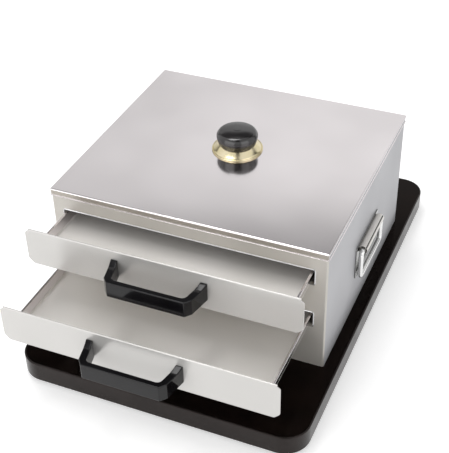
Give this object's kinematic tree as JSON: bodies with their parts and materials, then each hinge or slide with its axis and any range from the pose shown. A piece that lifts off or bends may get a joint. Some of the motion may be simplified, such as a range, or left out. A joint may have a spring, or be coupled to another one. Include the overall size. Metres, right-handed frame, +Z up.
{
  "type": "rice noodle roll steamer",
  "caption": "Tabletop stainless steamer box on a flat black heating base, with pull-out trays on front plates with bar handles, a lift-off lid with a ball knob, and folding side bails.",
  "frame": {"origin": "middle of the heating base's footprint, at the level of the worktop that its feet stand on", "axes": "+Z up, -Y the front that the drawers pull out of, +X to the right as seen from the front"},
  "size_m": [0.3653, 0.5772, 0.2235],
  "materials": {
    "stainless": "brushed along the walls",
    "stainless_front": "brushed from side to side",
    "stainless_inner": "plain mill finish",
    "stainless_lid": "satin",
    "stainless_tray": "bright rolled",
    "stainless_plate": "satin",
    "bright_steel": "polished",
    "screw_steel": "polished",
    "black_phenolic": "moulded gloss",
    "brass": "polished",
    "black_glass": "opaque black, polished",
    "base_plastic": "moulded gloss",
    "cover_steel": "powder coated",
    "dish_steel": "pressed",
    "insulation": "ceramic wool board",
    "element_steel": "heat darkened",
    "inlet_plastic": "moulded",
    "pin_brass": "plated",
    "rubber": "moulded"
  },
  "bodies": {
    "base": {"base_shell": "base_plastic", "base_top_glass": "black_glass", "base_bottom_cover": "cover_steel", "base_feet": "rubber", "base_screws": "screw_steel", "heater_dish": "dish_steel", "heater_insulation": "insulation", "heater_element": "element_steel", "heater_thermostat": "inlet_plastic", "mains_inlet": "inlet_plastic", "inlet_pins": "pin_brass"},
    "box": {"box_shell": "stainless", "front_panel": "stainless_front", "water_pan": "stainless_inner", "upper_left_runner": "stainless_inner", "upper_right_runner": "stainless_inner", "lower_left_runner": "stainless_inner", "lower_right_runner": "stainless_inner", "left_handle_plate": "bright_steel", "right_handle_plate": "bright_steel"},
    "left_bail": {"left_bail": "bright_steel"},
    "right_bail": {"right_bail": "bright_steel"},
    "lid": {"lid_panel": "stainless_lid", "knob_ring": "brass", "knob_cap": "black_phenolic", "knob_insert": "brass", "knob_washer": "screw_steel", "knob_screw": "screw_steel"},
    "upper_drawer": {"upper_tray": "stainless_tray", "upper_front_plate": "stainless_plate", "upper_handle": "black_phenolic", "upper_handle_screws": "screw_steel"},
    "lower_drawer": {"lower_tray": "stainless_tray", "lower_front_plate": "stainless_plate", "lower_handle": "black_phenolic", "lower_handle_screws": "screw_steel"}
  },
  "joints": [
    {"name": "box_lift", "type": "slide", "parent": "base", "child": "box", "axis": [0, 0, 1], "range_m": [0, 0.15]},
    {"name": "lid_lift", "type": "slide", "parent": "box", "child": "lid", "axis": [0, 0, 1], "range_m": [0, 0.12]},
    {"name": "upper_drawer_slide", "type": "slide", "parent": "box", "child": "upper_drawer", "axis": [0, -1, 0], "range_m": [-0.063, 0.195]},
    {"name": "lower_drawer_slide", "type": "slide", "parent": "box", "child": "lower_drawer", "axis": [0, -1, 0], "range_m": [-0.13, 0.128]},
    {"name": "left_bail_swing", "type": "hinge", "parent": "box", "child": "left_bail", "pos_m": [-0.18275, 0.009, 0.1185], "axis": [0, 1, 0], "range_deg": [-2, 95]},
    {"name": "right_bail_swing", "type": "hinge", "parent": "box", "child": "right_bail", "pos_m": [0.16675, 0.009, 0.1185], "axis": [0, -1, 0], "range_deg": [-2, 95]}
  ]
}
